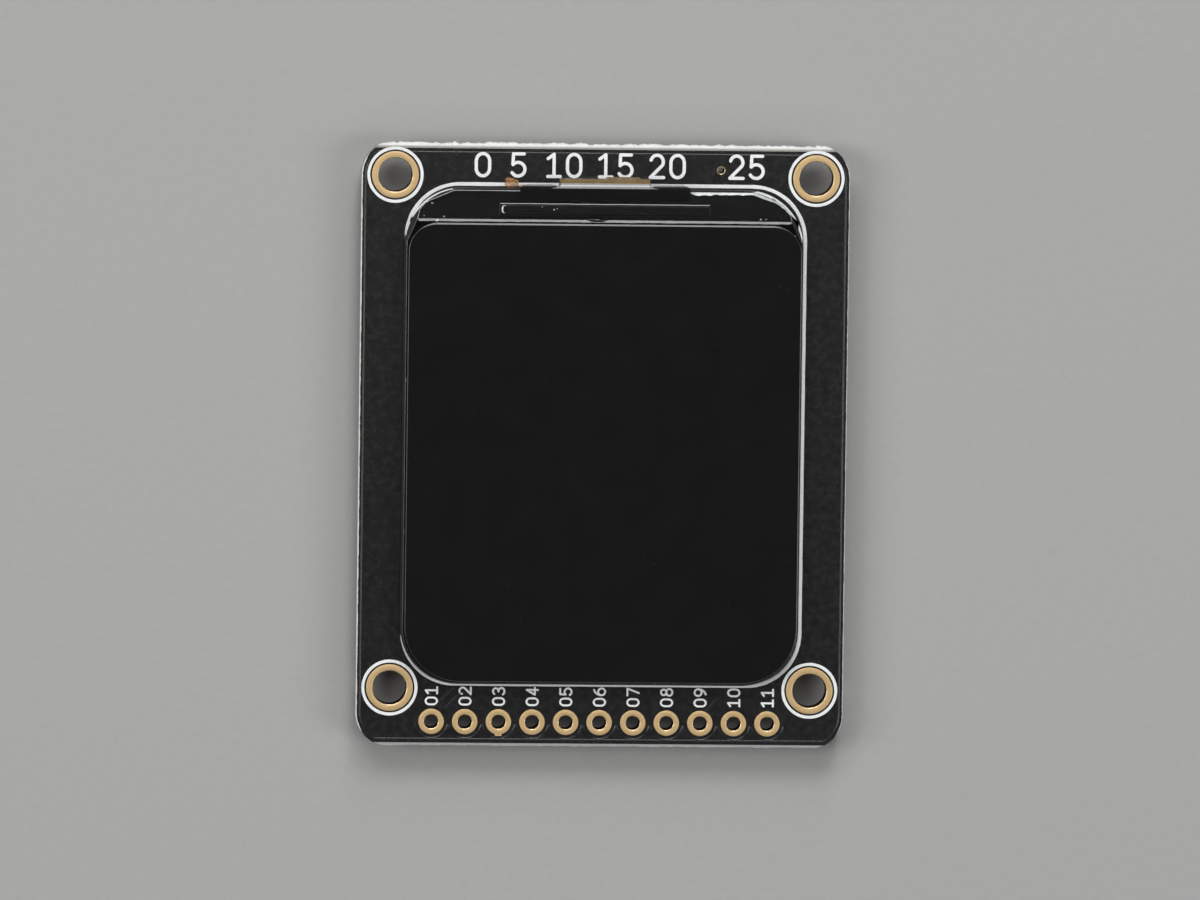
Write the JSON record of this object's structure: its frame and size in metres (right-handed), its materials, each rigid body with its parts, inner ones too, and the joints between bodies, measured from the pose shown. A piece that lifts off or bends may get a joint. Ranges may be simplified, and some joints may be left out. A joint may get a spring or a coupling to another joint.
{
  "type": "tft display module",
  "caption": "Small rounded-rectangle colour display bonded on a black carrier board, with a header hole row, corner mounting holes, a memory card socket and a flex cable connector behind.",
  "frame": {"origin": "centre of the board's outline in plan, on the plane that the parts on its back stand on", "axes": "+Z out of the screen, +Y along the board from the header row to the display's flex edge, +X to the right seen from the front"},
  "size_m": [0.0368, 0.0458, 0.0056],
  "materials": {
    "solder_mask": "semi gloss solder mask over glass-epoxy",
    "gold": "gold-plated copper",
    "foam_tape": "matt foam tape",
    "white_moulding": "matt white moulding",
    "reflector": "bright reflector film",
    "clear_acrylic": "clear polished moulding",
    "film": "hazy optical film",
    "lamp": "cast resin with phosphor",
    "polyimide": "amber polyimide film over copper",
    "black_polyimide": "black cover film",
    "black_tape": "matt black tape",
    "polariser": "dark satin sheet",
    "glass": "thin dark glass",
    "sealant": "cured sealant",
    "silicon": "ground bare silicon",
    "bond_film": "clear conductive bond film",
    "solder": "reflowed solder",
    "stamped_steel": "tin-plated stamped steel",
    "black_moulding": "matt moulded polymer",
    "cream_moulding": "matt moulded polymer",
    "spring_wire": "drawn stainless wire",
    "epoxy": "moulded epoxy",
    "ceramic": "fired ceramic",
    "resistor_coat": "glazed coat"
  },
  "bodies": {
    "board": {"circuit_board": "solder_mask", "mount_hole_plating": "gold", "header_hole_plating": "gold", "via_plating": "gold", "display_tape": "foam_tape", "backlight_frame": "white_moulding", "reflector_film": "reflector", "light_guide": "clear_acrylic", "diffuser_film": "film", "prism_film_lower": "film", "prism_film_upper": "film", "backlight_leds": "lamp", "backlight_flex": "polyimide", "shield_tape": "black_tape", "rear_polariser": "polariser", "array_glass": "glass", "colour_filter_glass": "glass", "front_polariser": "polariser", "fill_port_seal": "sealant", "bond_film": "bond_film", "driver_chip": "silicon", "display_flex": "black_polyimide", "flex_lands": "gold", "flex_solder": "solder", "card_socket_base": "black_moulding", "card_socket_shell": "stamped_steel", "card_contacts": "gold", "slider_spring": "spring_wire", "slider_cam_pin": "spring_wire", "card_detect_switch": "gold", "flex_connector_housing": "cream_moulding", "flex_connector_contacts": "gold", "flex_connector_anchors": "solder", "level_shifter_body": "epoxy", "level_shifter_leads": "solder", "regulator_body": "epoxy", "regulator_leads": "solder", "transistor_body": "epoxy", "transistor_leads": "solder", "capacitor_bodies": "ceramic", "capacitor_ends": "solder", "resistor_bodies": "resistor_coat", "resistor_ends": "solder"},
    "latch": {"flex_connector_latch": "black_moulding"},
    "slider": {"card_slider": "black_moulding"}
  },
  "joints": [
    {"name": "latch_hinge", "type": "hinge", "parent": "board", "child": "latch", "pos_m": [-0.003, 0.01752, 0.00053], "axis": [-1, 0, 0], "range_deg": [0, 90]},
    {"name": "slider_travel", "type": "slide", "parent": "board", "child": "slider", "axis": [-1, 0, 0], "range_m": [0, 0.0014], "stiffness_N_per_m": 300, "springref_m": -0.001, "deforming": ["slider_spring"]}
  ]
}
